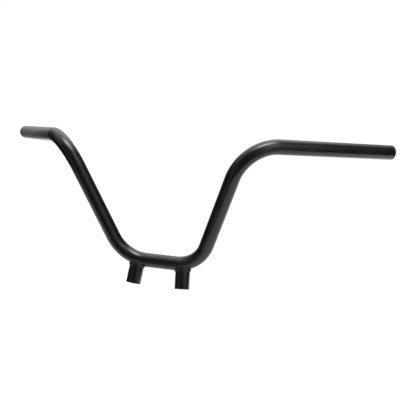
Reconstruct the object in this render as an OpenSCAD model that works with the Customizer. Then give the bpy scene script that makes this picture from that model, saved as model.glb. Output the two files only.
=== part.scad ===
// Ape hanger handlebar: one steel tube with four bends, on two riser posts
// that are welded under its middle. Millimetres, upright as it sits in use.
// The origin is midway between the centres of the two riser feet.
// +X is the rider's left, +Y is to the rear, and +Z is up along the uprights.

/* [Tube] */
// Outside diameter of the tube
tube_od = 25.4; // [22:0.1:32]
// Wall thickness of the tube
tube_wall = 2.4; // [1.6:0.1:4]
// Radius of the four bends, at the middle of the tube
bend_r = 66.3; // [55:0.1:90]
// Chamfer that deburrs each open end, inside and out
end_chamfer = 0.5; // [0.2:0.1:0.7]

/* [Bar shape] */
// Straight run between the two lower bends
centre_run = 56; // [40:0.5:80]
// Angle of each lower bend, from the centre run up to the upright
lower_bend = 68.1; // [58:0.1:85]
// Straight run of each upright, between its two bends
upright_run = 139.6; // [60:0.1:300]
// Sweep of the grips to the rear, seen from above
grip_sweep = 42.5; // [15:0.5:60]
// Drop of the grips below level, towards their ends
grip_drop = 12.8; // [0:0.1:25]
// Straight run of each grip, from the upper bend to the open end
grip_run = 232.5; // [150:0.5:300]

/* [Risers] */
// Diameter of a riser post
riser_od = 26.4; // [24:0.1:32]
// Distance between the centres of the two riser feet
riser_spacing = 94.5; // [84:0.5:108]
// Length of a riser, from its foot to the middle of the tube
riser_height = 46; // [42:0.5:80]
// Angle between the risers and the uprights, seen from the side
riser_rake = 32; // [0:0.5:40]
// Angle by which each riser spreads outward at its foot
riser_splay = 4.8; // [0:0.1:8]
// Chamfer round the foot of a riser
foot_chamfer = 0.8; // [0.3:0.1:2]
// Thickness of the lip that the cope leaves on each side of the tube
cope_lip = 6; // [3:0.1:7]

/* [Tapped holes] */
// Tapping drill for the coarse half inch thread
drill_d = 10.7; // [8:0.1:14]
// Depth of the hole at its full diameter
drill_depth = 22; // [14:0.5:24]
// Depth of the countersink at the mouth
countersink = 1.3; // [0.5:0.1:2]

/* [Weld beads] */
// Radius of the bead's rounded section
weld_r = 3.8; // [3.4:0.1:5]
// Ripples in one bead, all the way round
ripples = 24; // [16:1:32]
// Height of a ripple above the crease beside it
ripple_height = 0.4; // [0.1:0.05:0.6]

/* [Hidden] */
$fn = 180;

tube_r = tube_od / 2;
riser_r = riser_od / 2;
half_run = centre_run / 2;

// An angle within a twentieth of a degree of the wanted one, whose sine and cosine still
// square to one when each is cut to six digits. A length of tube that is turned by such
// an angle keeps its exact size, so it meets the length before it all the way round.
function six_digits(v) = abs(v) < 0.1 ? round(1e7 * v) / 1e7 : round(1e6 * v) / 1e6;
function even_angle(wanted) =
  let(
    near = [for (k = [-500:500]) wanted + k / 10000],
    off = [for (a = near) abs(six_digits(sin(a)) ^ 2 + six_digits(cos(a)) ^ 2 - 1)]
  )
  near[search(min(off), off)[0]];

lower_turn = even_angle(lower_bend);

// The upper bend turns the tube from the upright's direction to the grip's, which
// points along [grip_x, grip_y, grip_z] in the frame of the upright
grip_x = -sin(lower_turn) * cos(grip_sweep) * cos(grip_drop) - cos(lower_turn) * sin(grip_drop);
grip_y = -sin(grip_sweep) * cos(grip_drop);
grip_z = cos(lower_turn) * cos(grip_sweep) * cos(grip_drop) - sin(lower_turn) * sin(grip_drop);
upper_twist = even_angle(atan2(grip_y, grip_x));
upper_turn = even_angle(acos(grip_z));

// Where a riser's axis crosses the middle of the tube, from the centre of the bar
joint_x = riser_spacing / 2 - riser_height * sin(riser_splay);
joint_z = bend_r - sqrt(bend_r ^ 2 - max(0, joint_x - half_run) ^ 2);

// The bar's own centre, in the part's frame
bar_y = riser_height * cos(riser_splay) * sin(riser_rake);
bar_z = riser_height * cos(riser_splay) * cos(riser_rake) - joint_z;

// The post's blank stops short of the middle of the tube, so that the cope is a shallow
// saddle with a flat lip on each side, which carries the weld
lip_r = riser_r - cope_lip;
post_top = riser_height - sqrt(max(0, tube_r ^ 2 - lip_r ^ 2));

// The drill's point has an angle of 118 degrees
drill_tip = drill_d / 2 / tan(59);

// A bead is a ring of rounded sections. Each is centred inside the post's wall and near
// the seam. The first number is for where the wall meets the tube square, along the
// bar, and the second is for beside the tube, where the bead lies on the lip.
bead_steps = 3 * ripples;
bead_sides = 14;
bead_bury = [1, 3];
bead_lift = [0.9, -0.6];

// The tube's section, or its outline filled in
module section(bored) {
  difference() {
    circle(d = tube_od);
    if (bored) circle(d = tube_od - 2 * tube_wall);
  }
}

module run(length, bored) {
  linear_extrude(length) section(bored);
}

// One bend, from the origin along +Z and round towards +X. It is cut from a whole
// ring by the planes of its two ends, where the next lengths of tube begin.
module elbow(angle, bored) {
  reach = 2 * (bend_r + tube_od);
  corner = bend_r - reach / 2;
  difference() {
    translate([bend_r, 0, 0]) rotate([-90, 0, 0]) rotate_extrude() translate([bend_r, 0]) section(bored);
    translate([corner, -reach / 2, -reach]) cube(reach);
    past_elbow(angle) translate([corner, -reach / 2, 0]) cube(reach);
  }
}

// Puts its children at the end of a bend, along the tube's new direction
module past_elbow(angle) {
  translate([bend_r, 0, 0]) rotate([0, angle, 0]) translate([-bend_r, 0, 0]) children();
}

// A grip's straight run, deburred at the open end
module grip() {
  bore_r = tube_r - tube_wall;
  rotate_extrude() polygon([
    [bore_r, 0], [tube_r, 0],
    [tube_r, grip_run - end_chamfer], [tube_r - end_chamfer, grip_run],
    [bore_r + end_chamfer, grip_run], [bore_r, grip_run - end_chamfer]
  ]);
}

// From the centre of the bar to the start of the left lower bend, with the tube along +Z
module lower_corner() {
  translate([half_run, 0, 0]) rotate([0, 90, 0]) rotate(180) children();
}

module left_half() {
  lower_corner() {
    elbow(lower_turn, true);
    past_elbow(lower_turn) {
      run(upright_run, true);
      translate([0, 0, upright_run]) rotate(upper_twist) {
        elbow(upper_turn, true);
        past_elbow(upper_turn) grip();
      }
    }
  }
}

module centre(bored) {
  translate([-half_run, 0, 0]) rotate([0, 90, 0]) run(centre_run, bored);
}

module on_risers() {
  translate([0, bar_y, bar_z]) children();
}

module handlebar_tube() {
  color("#26272a") on_risers() {
    centre(true);
    left_half();
    mirror([1, 0, 0]) left_half();
  }
}

// The outside of the tube near the left riser, filled in, as the cope's cutter
module tube_outside() {
  on_risers() {
    centre(false);
    lower_corner() elbow(lower_turn, false);
  }
}

// Stands its children on the left riser's foot, with +Z up the riser's axis
module left_foot() {
  translate([riser_spacing / 2, 0, 0]) rotate([-riser_rake, 0, 0]) rotate([0, -riser_splay, 0]) children();
}

module post_blank() {
  rotate_extrude() polygon([
    [0, 0], [riser_r - foot_chamfer, 0], [riser_r, foot_chamfer], [riser_r, post_top], [0, post_top]
  ]);
}

module tapped_hole() {
  r = drill_d / 2;
  rotate_extrude() polygon([
    [0, -1], [r + countersink + 1, -1], [r, countersink], [r, drill_depth], [0, drill_depth + drill_tip]
  ]);
}

module left_riser() {
  color("#26272a") difference() {
    left_foot() post_blank();
    left_foot() tapped_hole();
    tube_outside();
  }
}

module right_riser() {
  mirror([1, 0, 0]) left_riser();
}

// A point beside the left riser's axis, in the frame of the bar's centre: r out from
// the axis at angle a, and h above where the axis crosses the middle of the tube
function beside_riser(r, a, h) =
  let(
    x = r * cos(a) * cos(riser_splay) - h * sin(riser_splay),
    y = r * sin(a),
    z = r * cos(a) * sin(riser_splay) + h * cos(riser_splay)
  )
  [
    joint_x + x,
    y * cos(riser_rake) + z * sin(riser_rake),
    joint_z - y * sin(riser_rake) + z * cos(riser_rake)
  ];

// How far a point is from the middle of the tube, along the centre run and lower bend
function from_middle(p) =
  p.x < half_run
    ? norm([p.y, p.z])
    : norm([norm([p.x - half_run, bend_r - p.z]) - bend_r, p.y]);

// The height at which a line along the riser's axis enters the tube from below,
// between the heights low and high, by halving that span
function tube_height(r, a, low, high, halvings = 20) =
  let(middle = (low + high) / 2)
  halvings == 0 ? middle
    : from_middle(beside_riser(r, a, middle)) > tube_r
      ? tube_height(r, a, middle, high, halvings - 1)
      : tube_height(r, a, low, middle, halvings - 1);

// The bead's section at angle a round the riser, as points from the joint's centre
function bead_section(a) =
  let(
    seam = tube_height(min(lip_r, 0.92 * tube_r), a, -2 * tube_od, 0),
    beside = sin(a) ^ 2,
    middle = riser_r - bead_bury[0] * (1 - beside) - bead_bury[1] * beside,
    height = seam + bead_lift[0] * (1 - beside) + bead_lift[1] * beside,
    size = weld_r + ripple_height * abs(sin(a * ripples / 2))
  )
  [
    for (j = [0:bead_sides - 1])
      let(b = 360 * j / bead_sides, r = middle + size * cos(b))
      [r * cos(a), r * sin(a), height + size * sin(b)]
  ];

module bead_ring() {
  n = bead_sides;
  points = [for (i = [0:bead_steps - 1]) each bead_section(360 * i / bead_steps)];
  faces = [
    for (i = [0:bead_steps - 1], j = [0:n - 1])
      let(
        here = i * n, next = (i + 1) % bead_steps * n, k = (j + 1) % n
      )
      each [[here + j, here + k, next + k], [here + j, next + k, next + j]]
  ];
  translate([0, 0, riser_height]) polyhedron(points, faces);
}

// The bead fills the corner between the post and the tube, and touches both
module left_weld_bead() {
  color("#3a3b3e") difference() {
    left_foot() bead_ring();
    left_foot() post_blank();
    tube_outside();
  }
}

module right_weld_bead() {
  mirror([1, 0, 0]) left_weld_bead();
}

handlebar_tube();
left_riser();
right_riser();
left_weld_bead();
right_weld_bead();
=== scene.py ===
# %% [markdown]
# # An ape hanger handlebar
#
# The bar is one steel tube with four bends, on two short riser posts that are welded under its
# middle, all in one satin black coat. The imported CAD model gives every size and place, and it
# stays where it is. This lesson dresses it: the tube is bent again as a bender would bend it,
# the posts are turned, the weld beads are laid drop by drop, the threads are cut, and then the
# coat goes on.
#
# The first cell loads the CAD model. Its box is kept, to compare with the finished model's.

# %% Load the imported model
import math
import random

import bpy
from mathutils import Matrix, Vector


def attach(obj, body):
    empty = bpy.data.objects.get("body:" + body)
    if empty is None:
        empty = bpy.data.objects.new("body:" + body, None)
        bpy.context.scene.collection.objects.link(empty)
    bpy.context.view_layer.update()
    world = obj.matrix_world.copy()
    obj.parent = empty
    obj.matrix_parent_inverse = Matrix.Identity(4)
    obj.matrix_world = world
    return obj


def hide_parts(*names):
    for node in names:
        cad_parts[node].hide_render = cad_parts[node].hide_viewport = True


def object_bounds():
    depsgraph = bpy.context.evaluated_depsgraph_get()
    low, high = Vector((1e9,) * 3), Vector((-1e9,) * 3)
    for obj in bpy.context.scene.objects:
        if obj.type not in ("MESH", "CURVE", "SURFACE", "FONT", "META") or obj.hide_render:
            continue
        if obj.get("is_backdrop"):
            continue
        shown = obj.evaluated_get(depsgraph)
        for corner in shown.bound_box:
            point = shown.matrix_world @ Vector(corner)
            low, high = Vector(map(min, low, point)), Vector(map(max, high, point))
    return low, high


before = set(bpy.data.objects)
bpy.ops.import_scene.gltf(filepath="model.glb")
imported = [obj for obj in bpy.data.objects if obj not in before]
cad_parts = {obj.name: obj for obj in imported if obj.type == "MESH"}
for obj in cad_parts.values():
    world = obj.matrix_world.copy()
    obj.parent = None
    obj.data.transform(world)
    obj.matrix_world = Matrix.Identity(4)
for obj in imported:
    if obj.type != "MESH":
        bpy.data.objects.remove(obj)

cad_box = [list(corner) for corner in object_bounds()]
print("nodes:", sorted(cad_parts))
print("CAD box:", cad_box)

# %% [markdown]
# ## The camera
#
# The photograph looks down on the front of the bar from its left side. The camera's place was
# fitted to the outline of the tube, so it is written down as found: where it stands, the point
# in the middle of the picture, and a small roll. The lens is long, as for a product photograph.

# %% Camera
eye = Vector((0.456857, -0.955906, 0.607724))
seen = Vector((0.096290, 0.024291, 0.151254))
roll = math.radians(-3.2665)
lens_mm, sensor_mm = 58.5257, 36

bpy.ops.object.camera_add(location=eye)
camera = bpy.context.object
camera.name = "photo_camera"
aim = (seen - eye).to_track_quat("-Z", "Y").to_matrix()
camera.rotation_euler = (aim @ Matrix.Rotation(roll, 3, "Z")).to_euler()
camera.data.sensor_width = sensor_mm
camera.data.lens = lens_mm
bpy.context.scene.camera = camera
print("camera stands", round((eye - seen).length, 3), "m from the bar")

# %% [markdown]
# ## Small helpers
#
# Operators act on whatever is selected, and the loaded CAD nodes are. So each step first clears
# the selection. A finished piece sits at the origin with its place in its mesh, and its sharp
# edges stay sharp while its curves shade smoothly.

# %% Selecting, copying and finishing
# Points within a thousandth of a millimetre are one point
SAME_POINT = 1e-6


def only(piece):
    """Makes one piece the selected and active one."""
    bpy.ops.object.select_all(action="DESELECT")
    piece.select_set(True)
    bpy.context.view_layer.objects.active = piece


def edit(piece):
    only(piece)
    bpy.ops.object.mode_set(mode="EDIT")


def leave_edit():
    bpy.ops.object.mode_set(mode="OBJECT")


def clean_up(piece, fill_ends=False):
    """Merges doubled points, fills open ends if asked, and points the faces outwards."""
    edit(piece)
    bpy.ops.mesh.select_all(action="SELECT")
    bpy.ops.mesh.remove_doubles(threshold=SAME_POINT)
    if fill_ends:
        bpy.ops.mesh.select_all(action="SELECT")
        bpy.ops.mesh.fill_holes(sides=0)
    bpy.ops.mesh.normals_make_consistent(inside=False)
    leave_edit()


def copy_of(piece, name):
    """A copy with a mesh of its own."""
    twin = piece.copy()
    twin.data = piece.data.copy()
    twin.name = name
    bpy.context.collection.objects.link(twin)
    return twin


def modify(piece, kind, **settings):
    """Adds one modifier with its settings and applies it."""
    only(piece)
    modifier = piece.modifiers.new(kind.lower(), kind)
    for name, value in settings.items():
        setattr(modifier, name, value)
    bpy.ops.object.modifier_apply(modifier=modifier.name)


def cut(piece, tool):
    """Takes the tool's solid out of the piece."""
    modify(piece, "BOOLEAN", operation="DIFFERENCE", solver="MANIFOLD", object=tool)


def finish_piece(piece, sharp_angle):
    """Applies the piece's place and smooths what is flatter than the angle, in degrees."""
    only(piece)
    bpy.ops.object.transform_apply(location=True, rotation=True, scale=True)
    bpy.ops.object.shade_smooth_by_angle(angle=math.radians(sharp_angle))
    print(piece.name, "has", len(piece.data.polygons), "faces")


# %% [markdown]
# ## The bent tube
#
# A bender grips a straight tube and swings it round a die, so the tube is a run of straights
# and arcs that meet without a kink. The spin operator does just that to a ring of points:
# extrude the ring along a straight, spin it round the die's axis, extrude it again. A tube that
# is bent with no filling also goes a little flat in the bend, because the outside is stretched
# and the inside is squeezed. A curve with a round bevel would be quicker, but it would stay
# perfectly round in the bends. So the ring is pressed a little oval as it goes round.

# %% Sizes of the tube, from the CAD model
mm = 0.001
tube_r = 12.7 * mm
wall = 2.4 * mm
die_r = 66.3 * mm
half_centre = 28 * mm
upright_length = 139.6 * mm
grip_length = 232.5 * mm
bar_centre = Vector((0, 24.2908, 37.05987)) * mm

across = Vector((1, 0, 0))
up_the_upright = Vector((0.373334, 0, 0.927697)).normalized()
down_the_grip = Vector((0.718440, 0.659202, -0.222028)).normalized()

# %% Start with a ring at the middle of the bar
RING_POINTS = 96

bpy.ops.object.select_all(action="DESELECT")
bpy.ops.mesh.primitive_circle_add(
    vertices=RING_POINTS, radius=tube_r, location=bar_centre, rotation=(0, math.radians(90), 0)
)
tube = bpy.context.object
tube.name = "bent_tube"
bpy.ops.object.transform_apply(location=True, rotation=True, scale=True)
print("the ring has", len(tube.data.vertices), "points")

# %% Straights and bends
# The tube goes 3 percent flat at most, and gets there over a fifth of the bend
MOST_PRESSED, PRESSED_OVER = 0.03, 0.2


def straight(direction, length):
    """Draws the ring along a straight."""
    bpy.ops.mesh.extrude_region_move(TRANSFORM_OT_translate={"value": direction * length})


def pressed(part):
    """How flat the ring is at a part of the bend, from 0 at its start to 1 at its end."""
    ease = min(1, part / PRESSED_OVER, (1 - part) / PRESSED_OVER)
    return MOST_PRESSED * ease * ease * (3 - 2 * ease)


def bend(start, before, after, steps):
    """Swings the ring round the die, from one direction to the other, and returns its place."""
    axis = before.cross(after).normalized()
    inward = axis.cross(before)
    angle = before.angle(after)
    die = start + inward * die_r
    flat = 0
    for step in range(1, steps + 1):
        # With no window, the spin turns by the left-hand rule
        bpy.ops.mesh.spin(steps=1, angle=-angle / steps, center=die, axis=axis)
        turn = Matrix.Rotation(angle * step / steps, 3, axis)
        middle = die - turn @ inward * die_r
        to_die, forward = turn @ inward, turn @ before
        now = pressed(step / steps)
        bpy.ops.transform.resize(
            value=((1 - now) / (1 - flat), (1 + now / 2) / (1 + flat / 2), 1),
            orient_type="GLOBAL",
            orient_matrix=Matrix((to_die, axis, forward)).transposed(),
            orient_matrix_type="GLOBAL",
            center_override=middle,
        )
        flat = now
    return middle


# %% Bend the left half
LOWER_BEND_STEPS, UPPER_BEND_STEPS = 34, 44

edit(tube)
bpy.ops.mesh.select_all(action="SELECT")
place = bar_centre + across * half_centre
straight(across, half_centre)
place = bend(place, across, up_the_upright, LOWER_BEND_STEPS)
print("upright starts at", [round(v / mm, 3) for v in place], "mm")
straight(up_the_upright, upright_length)
place = place + up_the_upright * upright_length
place = bend(place, up_the_upright, down_the_grip, UPPER_BEND_STEPS)
print("grip starts at", [round(v / mm, 3) for v in place], "mm")
straight(down_the_grip, grip_length)
bar_end = place + down_the_grip * grip_length
leave_edit()
print("bar ends at", [round(v / mm, 3) for v in bar_end], "mm")

# %% Mirror it, and fill a copy to cut the posts and beads with
modify(
    tube, "MIRROR",
    use_axis=(True, False, False), use_mirror_merge=True, merge_threshold=SAME_POINT,
)
clean_up(tube)
filled_tube = copy_of(tube, "filled_tube")
clean_up(filled_tube, fill_ends=True)
print("both halves have", len(tube.data.vertices), "points")

# %% Give it its wall
modify(
    tube, "SOLIDIFY",
    thickness=wall, offset=-1, use_even_offset=True, use_rim=True, material_offset=1,
)
print("the wall is", round(wall / mm, 2), "mm thick")

# %% Round off the open ends
end_round = 0.9 * mm
# A face whose middle is this near the end's plane belongs to the end
AT_THE_END = 1e-5

edit(tube)
bpy.ops.mesh.select_all(action="DESELECT")
leave_edit()
for face in tube.data.polygons:
    middle = face.center.copy()
    middle.x = abs(middle.x)
    if abs((middle - bar_end).dot(down_the_grip)) < AT_THE_END:
        face.select = True
edit(tube)
bpy.ops.mesh.select_mode(type="FACE")
bpy.ops.mesh.region_to_loop()
bpy.ops.mesh.bevel(offset=end_round, segments=3, affect="EDGES")
leave_edit()
finish_piece(tube, sharp_angle=35)

# %% [markdown]
# ## The turned posts
#
# Each riser starts as a bar in a lathe: the foot is faced, its rim is chamfered, and a hole is
# drilled from below with a countersunk mouth and the cone that the drill's point leaves. So the
# outline of half a section is drawn point by point, and the spin operator sweeps it all the way
# round. The tube is then taken out of the top, which mills the saddle.

# %% The outline of half a post, from the middle of its top round to the hole's end
post_r, lip_r = 13.2 * mm, 7.2 * mm
post_top = 35.538 * mm
hole_r, hole_depth = 5.35 * mm, 22 * mm
mouth_r, countersink = 6.65 * mm, 1.3 * mm
# The drill's point has an angle of 118 degrees
hole_end = hole_depth + hole_r / math.tan(math.radians(118 / 2))
# The corners of the foot's chamfer are eased, so it has four points
FOOT_RIM = [(post_r, 0.95 * mm), (13.08 * mm, 0.72 * mm), (12.5 * mm, 0.13 * mm), (12.3 * mm, 0)]
POST_OUTLINE = [
    (0, post_top), (post_r, post_top), *FOOT_RIM,
    (mouth_r, 0), (hole_r, countersink), (hole_r, hole_depth), (0, hole_end),
]

# %% The lathe
LATHE_STEPS = 120


def turned(name, outline):
    """Draws half a section point by point and sweeps it round the upright axis."""
    bpy.ops.object.select_all(action="DESELECT")
    bpy.ops.mesh.primitive_plane_add(size=1)
    piece = bpy.context.object
    piece.name = name
    edit(piece)
    bpy.ops.mesh.select_mode(type="VERT")
    bpy.ops.mesh.select_all(action="SELECT")
    bpy.ops.mesh.merge(type="CENTER")
    points = [Vector((radius, 0, height)) for radius, height in outline]
    bpy.ops.transform.translate(value=points[0])
    for here, there in zip(points, points[1:]):
        bpy.ops.mesh.extrude_region_move(TRANSFORM_OT_translate={"value": there - here})
    bpy.ops.mesh.select_all(action="SELECT")
    bpy.ops.mesh.spin(steps=LATHE_STEPS, angle=2 * math.pi, center=(0, 0, 0), axis=(0, 0, 1))
    leave_edit()
    clean_up(piece)
    return piece


def stood(piece, at, turn):
    """Stands a turned piece on its foot, along its raked axis."""
    piece.data.transform(Matrix.Translation(at) @ turn.to_4x4())
    return piece


# %% Turn both posts and mill their saddles
rake, splay = math.radians(32), math.radians(4.8)
foot = Vector((47.25, 0, 0)) * mm
stand = Matrix.Rotation(-rake, 3, "X") @ Matrix.Rotation(-splay, 3, "Y")
right_foot = Vector((-foot.x, 0, 0))
right_stand = Matrix.Rotation(-rake, 3, "X") @ Matrix.Rotation(splay, 3, "Y")
stands = {"left": (foot, stand), "right": (right_foot, right_stand)}

posts = {}
for side, (at, turn) in stands.items():
    posts[side] = stood(turned(f"{side}_tapped_post", POST_OUTLINE), at, turn)
    cut(posts[side], filled_tube)
    print(side, "post has", len(posts[side].data.polygons), "faces after the saddle")

# %% [markdown]
# ## The weld beads
#
# A riser is welded to the tube all the way round. The post's end is a shallow saddle with a
# flat lip in front of the tube and behind it. There the bead fills the wedge between the lip
# and the tube's flank, so it looks like a low, flat band. At the two sides, where the tube
# leaves the post, it is a small round lump in the corner. The welder adds the metal drop by
# drop, and it sets as a row of overlapping ripples. One drop is modelled and set down again
# and again along the seam, pressed into the shape that the corner has there. A voxel remesh
# then melts the drops into one skin. Last, the post and the tube are cut out of it, so it
# meets both face to face.

# %% Where the post meets the tube, and how a drop lies there
post_up = stand @ Vector((0, 0, 1))
cad_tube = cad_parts["handlebar_tube"]

# A drop's distance from the post's axis, its height over the seam, half its depth and half its
# height, in millimetres, and the lean of its face in degrees: first at the post's sides, where
# the tube leaves it, and then in front and behind
AT_THE_SIDES = (12.1, 0.8, 2.9, 3.9, 0)
IN_FRONT = (11.0, 1.0, 2.0, 5.6, 11)


def drop_at(angle):
    """The drop's centre, the way out from the post there, and its size and lean."""
    beside = math.sin(angle) ** 2
    reach, lift, depth, height, lean = (
        side + (front - side) * beside for side, front in zip(AT_THE_SIDES, IN_FRONT)
    )
    out = stand @ Vector((math.cos(angle), math.sin(angle), 0))
    _, hit, _, _ = cad_tube.ray_cast(foot + out * lip_r, post_up)
    seam = (hit - foot).dot(post_up)
    centre = foot + out * reach * mm + post_up * (seam + lift * mm)
    return centre, out, depth * mm, height * mm, math.radians(lean)


# %% One drop, a rod with rounded rims
half_drop = 3.2 * mm
slant = math.radians(20)
# In radians, how far round to each side the seam's direction is taken
A_LITTLE_FURTHER = 0.05
# In millimetres, how much a drop's depth varies
UNEVEN_BY = 0.08
drop_random = random.Random(7)


def new_drop():
    """A drop of radius 1 and half height 1, to be pressed into shape."""
    bpy.ops.object.select_all(action="DESELECT")
    bpy.ops.mesh.primitive_cylinder_add(vertices=24, radius=1, depth=2)
    drop = bpy.context.object
    drop.name = "drop"
    modify(drop, "BEVEL", width=0.5, segments=4)
    return drop


def set_down(drop, angle):
    """A copy of the drop, pressed into the corner at an angle round the post."""
    centre, out, depth, height, lean = drop_at(angle)
    ahead, behind = (drop_at(angle + step)[0] for step in (A_LITTLE_FURTHER, -A_LITTLE_FURTHER))
    along = (ahead - behind).normalized()
    up_the_face = post_up * math.cos(lean) - out * math.sin(lean)
    outward = along.cross(up_the_face).normalized()
    down_the_face = along.cross(outward)
    lying = Matrix((along, outward, down_the_face)).transposed()
    turn = Matrix.Rotation(slant, 3, outward) @ lying
    depth += drop_random.uniform(-UNEVEN_BY, UNEVEN_BY) * mm
    one = copy_of(drop, "drop")
    one.data.transform(turn.to_4x4() @ Matrix.Diagonal((half_drop, depth, height, 1)))
    one.data.transform(Matrix.Translation(centre))
    return one


# %% The ring of drops
DROPS = 25
voxel = 0.32 * mm


def lay_bead(name):
    """Sets drops down all round the post and melts them into one skin."""
    drop = new_drop()
    drops = [set_down(drop, 2 * math.pi * i / DROPS) for i in range(DROPS)]
    bpy.data.objects.remove(drop)
    bpy.ops.object.select_all(action="DESELECT")
    for one in drops:
        one.select_set(True)
    bpy.context.view_layer.objects.active = drops[0]
    bpy.ops.object.join()
    bead = bpy.context.object
    bead.name = name
    modify(bead, "REMESH", mode="VOXEL", voxel_size=voxel)
    modify(bead, "SMOOTH", factor=0.5, iterations=4)
    return bead


# %% Lay the left bead and cut it to the joint
left_bead = lay_bead("left_bead_ripples")
cut(left_bead, filled_tube)
cut(left_bead, posts["left"])
finish_piece(left_bead, sharp_angle=50)


# %% Mirror it for the right side
def mirrored(piece, name):
    """A copy on the other side of the bar, with its faces still pointing outwards."""
    twin = copy_of(piece, name)
    twin.data.transform(Matrix.Scale(-1, 4, Vector((1, 0, 0))))
    twin.data.flip_normals()
    return twin


right_bead = mirrored(left_bead, "right_bead_ripples")
finish_piece(right_bead, sharp_angle=50)

# %% [markdown]
# ## The threads
#
# A half inch bolt comes up through the yoke into each post, and a tap cuts its thread into the
# wall of the drilled hole. The tap's tooth is a small closed outline. The Screw modifier winds
# it up the axis by one pitch a turn, its two open ends are filled, and a Boolean takes it out
# of the post. Both threads are right-handed, so each post is cut by itself and neither is a
# mirrored copy of the other.

# %% The tap
pitch = 25.4 / 13 * mm
TURNS, STEPS_A_TURN = 11, 40
# The tooth's four corners in a plane's own order, as radius and height in millimetres, and how
# far below the foot the tap starts
TOOTH = [(4.9, 0.06), (6.35, 0.86), (4.9, 1.89), (6.35, 1.09)]
BELOW_THE_FOOT = 1.2


def tap(name):
    """Winds the tooth up the axis of an upright hole."""
    bpy.ops.object.select_all(action="DESELECT")
    bpy.ops.mesh.primitive_plane_add(size=1)
    tool = bpy.context.object
    tool.name = name
    for vertex, (radius, height) in zip(tool.data.vertices, TOOTH):
        vertex.co = (radius * mm, 0, (height - BELOW_THE_FOOT) * mm)
    edit(tool)
    bpy.ops.mesh.select_all(action="SELECT")
    bpy.ops.mesh.delete(type="ONLY_FACE")
    leave_edit()
    modify(
        tool, "SCREW",
        axis="Z", screw_offset=pitch, iterations=TURNS,
        steps=STEPS_A_TURN, render_steps=STEPS_A_TURN,
    )
    clean_up(tool, fill_ends=True)
    return tool


# %% Tap both posts
for side, (at, turn) in stands.items():
    tool = stood(tap(f"{side}_tap"), at, turn)
    cut(posts[side], tool)
    bpy.data.objects.remove(tool)
    finish_piece(posts[side], sharp_angle=30)
bpy.data.objects.remove(filled_tube)

# %% [markdown]
# ## The satin black coat
#
# The bar is powder coated: dry powder is baked into one skin of plastic over the steel. It is a
# plastic gloss and not a metal one, so the shader isn't metallic. Satin powder spreads each
# reflection, and it never levels out fully: its skin has the low ripple of an orange's peel, a
# few millimetres from crest to crest and only some hundredths high. One noise makes that ripple
# and a finer one the powder's grain. A third, slow noise makes the black and its sheen a little
# uneven, as where the powder lay thicker.

# %% Node helpers
# A noise seldom leaves this range
NOISE_LOW, NOISE_HIGH = 0.3, 0.7


def new_material(name):
    """A material with its nodes, its links and its shader."""
    material = bpy.data.materials.new(name)
    material.use_nodes = True
    nodes = material.node_tree.nodes
    return material, nodes, material.node_tree.links, nodes["Principled BSDF"]


def noise(nodes, links, source, scale, detail):
    """A noise in the piece's own metres, with so many waves a metre and levels of finer ones."""
    node = nodes.new("ShaderNodeTexNoise")
    node.inputs["Scale"].default_value = scale
    node.inputs["Detail"].default_value = detail
    links.new(source.outputs["Object"], node.inputs["Vector"])
    return node.outputs["Fac"]


def between(nodes, links, value, low, high):
    """Turns a noise into a range of values."""
    node = nodes.new("ShaderNodeMapRange")
    node.inputs["From Min"].default_value = NOISE_LOW
    node.inputs["From Max"].default_value = NOISE_HIGH
    node.inputs["To Min"].default_value = low
    node.inputs["To Max"].default_value = high
    links.new(value, node.inputs["Value"])
    return node.outputs["Result"]


def tinted(nodes, links, value, dark, light):
    """Turns a noise into the colours between two."""
    node = nodes.new("ShaderNodeMix")
    node.data_type = "RGBA"
    node.inputs["A"].default_value = dark
    node.inputs["B"].default_value = light
    links.new(between(nodes, links, value, 0, 1), node.inputs["Factor"])
    return node.outputs["Result"]


def bump(nodes, links, height, distance, strength, below=None):
    """Turns a height into a bumpy surface, on top of another where one is given."""
    node = nodes.new("ShaderNodeBump")
    node.inputs["Distance"].default_value = distance
    node.inputs["Strength"].default_value = strength
    links.new(height, node.inputs["Height"])
    if below:
        links.new(below, node.inputs["Normal"])
    return node.outputs["Normal"]


# %% The coat
# Each noise's waves a metre and its levels of finer waves
CLOUDS, ORANGE_PEEL, GRAIN = (38, 3), (330, 2), (900, 1)
BLACK, SOFT_BLACK = (0.0085, 0.0085, 0.0085, 1), (0.0125, 0.0125, 0.0125, 1)
SHEEN_SPREAD = 0.025
peel_height, grain_height = 0.06 * mm, 0.02 * mm


def satin_coat(name, peel=1.0, rough=0.22):
    """The coat, with its ripples so many times as high, and so rough on average."""
    material, nodes, links, shader = new_material(name)
    source = nodes.new("ShaderNodeTexCoord")
    clouds = noise(nodes, links, source, *CLOUDS)
    links.new(tinted(nodes, links, clouds, BLACK, SOFT_BLACK), shader.inputs["Base Color"])
    sheen = between(nodes, links, clouds, rough - SHEEN_SPREAD, rough + SHEEN_SPREAD)
    links.new(sheen, shader.inputs["Roughness"])
    ripple = noise(nodes, links, source, *ORANGE_PEEL)
    grain = noise(nodes, links, source, *GRAIN)
    rippled = bump(nodes, links, ripple, peel_height * peel, strength=0.35)
    skin = bump(nodes, links, grain, grain_height * peel, strength=0.25, below=rippled)
    links.new(skin, shader.inputs["Normal"])
    shader.inputs["IOR"].default_value = 1.5
    return material


tube_coat = satin_coat("tube_satin_coat")
post_coat = satin_coat("post_satin_coat", rough=0.23)
weld_coat = satin_coat("weld_satin_coat", peel=1.3, rough=0.26)
print("coats:", [coat.name for coat in (tube_coat, post_coat, weld_coat)])

# %% [markdown]
# ## Bare steel
#
# The coater plugs the threads and leaves the inside of the tube alone, so both stay bare. The
# threads are cut metal, bright and slightly oily. The tube's inside is dull drawn steel in
# lighter and darker patches, a little brown where it isn't oiled.

# %% Cut threads and the inside of the tube
PATCH_DETAIL = 5
DULLER, SHINIER = 0.12, 0.05
patch_height = 0.05 * mm


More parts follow.
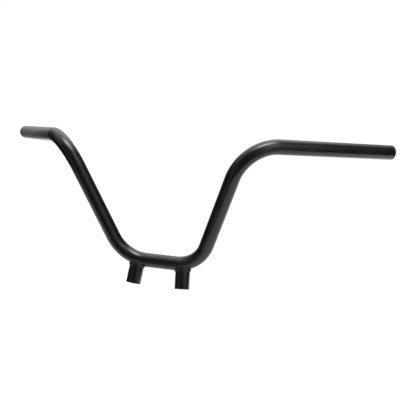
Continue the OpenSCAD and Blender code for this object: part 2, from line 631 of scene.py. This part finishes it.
def bare_steel(name, dark, light, rough, patches_a_metre):
    """Steel in patches, and the darker a patch is, the duller."""
    material, nodes, links, shader = new_material(name)
    source = nodes.new("ShaderNodeTexCoord")
    patches = noise(nodes, links, source, patches_a_metre, PATCH_DETAIL)
    links.new(tinted(nodes, links, patches, dark, light), shader.inputs["Base Color"])
    dullness = between(nodes, links, patches, rough + DULLER, rough - SHINIER)
    links.new(dullness, shader.inputs["Roughness"])
    links.new(bump(nodes, links, patches, patch_height, strength=0.4), shader.inputs["Normal"])
    shader.inputs["Metallic"].default_value = 1.0
    return material


thread_steel = bare_steel(
    "thread_bare_steel",
    dark=(0.30, 0.30, 0.29, 1), light=(0.52, 0.52, 0.51, 1), rough=0.30, patches_a_metre=420,
)
inside_steel = bare_steel(
    "inside_bare_steel",
    dark=(0.10, 0.095, 0.09, 1), light=(0.26, 0.25, 0.24, 1), rough=0.48, patches_a_metre=150,
)
print("bare:", [steel.name for steel in (thread_steel, inside_steel)])

# %% Put the finishes on
# The thread's roots lie within this reach of the post's axis, and the foot's own face, which
# is coated, within this height
hole_reach, foot_height = 6.4 * mm, 0.25 * mm


def dress(piece, *materials):
    """Fills a piece's material slots afresh."""
    piece.data.materials.clear()
    for material in materials:
        piece.data.materials.append(material)


dress(tube, tube_coat, inside_steel)
for side, post in posts.items():
    at, turn = stands[side]
    axis = turn @ Vector((0, 0, 1))
    dress(post, post_coat, thread_steel)
    bare = 0
    for face in post.data.polygons:
        away = face.center - at
        height = away.dot(axis)
        in_hole = (away - axis * height).length < hole_reach and height > foot_height
        face.material_index = 1 if in_hole else 0
        bare += in_hole
    print(side, "post has", bare, "bare faces")
for bead in (left_bead, right_bead):
    dress(bead, weld_coat)

# %% [markdown]
# ## Hand the pieces to the frame
#
# Each new piece stands for its CAD node: the node is hidden, and stays in the physics model. It
# gets the same coat, so that no node is left plain.

# %% Ride and replace
for piece, node, slot, coat in (
    (tube, "handlebar_tube", "tube_coat", tube_coat),
    (posts["left"], "left_riser", "riser_coat", post_coat),
    (posts["right"], "right_riser", "riser_coat", post_coat),
    (left_bead, "left_weld_bead", "weld_coat", weld_coat),
    (right_bead, "right_weld_bead", "weld_coat", weld_coat),
):
    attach(piece, "root")
    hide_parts(node)
    for node_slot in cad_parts[node].material_slots:
        node_slot.material = coat
    print(piece.name, "stands for", node)

# %% [markdown]
# ## The studio
#
# The photograph has a pure white ground and no shadow, and the coat shows where its lamps are.
# A strong soft box hangs above the bar, a little to its left, and another straight overhead. A
# wide one stands behind it, and lights the upper edge of every tube. One at the left draws the
# soft band down the left upright. Weaker ones fill in at the other sides. The side behind the
# camera has none, and the coat shows that as its darkest bands. A pale floor far below gives
# the light under the grips, and it is so far down that no shadow shows on it.

# %% Floor
floor_width, floor_place = 5, (0, 0.1, -1.2)
PALE_GREY = (0.67, 0.67, 0.67, 1)

bpy.ops.object.select_all(action="DESELECT")
bpy.ops.mesh.primitive_plane_add(size=floor_width, location=floor_place)
floor = bpy.context.object
floor.name = "studio_floor"
floor_paint, _, _, shader = new_material("studio_floor_paint")
shader.inputs["Base Color"].default_value = PALE_GREY
shader.inputs["Roughness"].default_value = 0.9
shader.inputs["Specular IOR Level"].default_value = 0.0
floor.data.materials.append(floor_paint)
floor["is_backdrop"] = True
print("floor is", floor_width, "m wide and", -floor_place[2], "m below the feet")

# %% Nodes of the light
world = bpy.data.worlds.new("studio_light")
bpy.context.scene.world = world
world.use_nodes = True
world_nodes, world_links = world.node_tree.nodes, world.node_tree.links
where = world_nodes.new("ShaderNodeTexCoord")


def calculate(operation, first, second=0):
    """One sum in nodes: each side is a socket or a number."""
    node = world_nodes.new("ShaderNodeMath")
    node.operation = operation
    for socket, value in zip(node.inputs, (first, second)):
        if isinstance(value, (int, float)):
            socket.default_value = value
        else:
            world_links.new(value, socket)
    return node.outputs["Value"]


def soft_box(name, bearing, height, tightness, brightness):
    """A round glow in one direction, which fades away from its middle."""
    bearing, height = math.radians(bearing), math.radians(height)
    level_part = math.cos(height)
    towards = world_nodes.new("ShaderNodeVectorMath")
    towards.name = name
    towards.operation = "DOT_PRODUCT"
    towards.inputs[1].default_value = (
        math.sin(bearing) * level_part, -math.cos(bearing) * level_part, math.sin(height)
    )
    world_links.new(where.outputs["Generated"], towards.inputs[0])
    away = calculate("SUBTRACT", towards.outputs["Value"], 1)
    glow = calculate("EXPONENT", calculate("MULTIPLY", away, tightness))
    return calculate("MULTIPLY", glow, brightness)


# %% Soft boxes, endlessly far off, so that they light the bar and the floor evenly
# Each has its bearing from the front towards the bar's left, its height, how tight its glow
# is, and how bright
SOFT_BOXES = {
    "key, above and a little left": (120, 74, 30, 9.4),
    "overhead": (0, 90, 40, 8.1),
    "behind": (180, 38, 16, 2.7),
    "left": (72, 38, 16, 1.8),
    "high behind, right": (-112, 57, 20, 1.5),
    "behind, right": (-144, 38, 16, 1.4),
    "low behind": (-160, -22, 14, 0.9),
    "level behind, right": (-140, 10, 16, 0.7),
    "right": (-72, 38, 16, 0.6),
    "level, left": (60, -3, 16, 0.6),
    "level, front": (-30, -3, 16, 0.3),
}
light = 0.0
for name, facts in SOFT_BOXES.items():
    light = calculate("ADD", light, soft_box(name, *facts))
print("soft boxes:", len(SOFT_BOXES))

# %% What the camera sees between the lamps is the plain white ground
WHITE_GROUND = 1.03

path = world_nodes.new("ShaderNodeLightPath")
level = world_nodes.new("ShaderNodeMix")
world_links.new(path.outputs["Is Camera Ray"], level.inputs["Factor"])
world_links.new(light, level.inputs["A"])
level.inputs["B"].default_value = WHITE_GROUND
background = world_nodes["Background"]
background.inputs["Color"].default_value = (1, 1, 1, 1)
world_links.new(level.outputs["Result"], background.inputs["Strength"])
bpy.context.scene.view_settings.view_transform = "Standard"

# %% [markdown]
# ## Measure and finish
#
# The two boxes are printed, to compare them.

# %% Sizes
looks_box = [list(corner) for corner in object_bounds()]
for name, box in (("CAD", cad_box), ("looks", looks_box)):
    print(name, [round((high - low) / mm, 2) for low, high in zip(*box)], "mm")
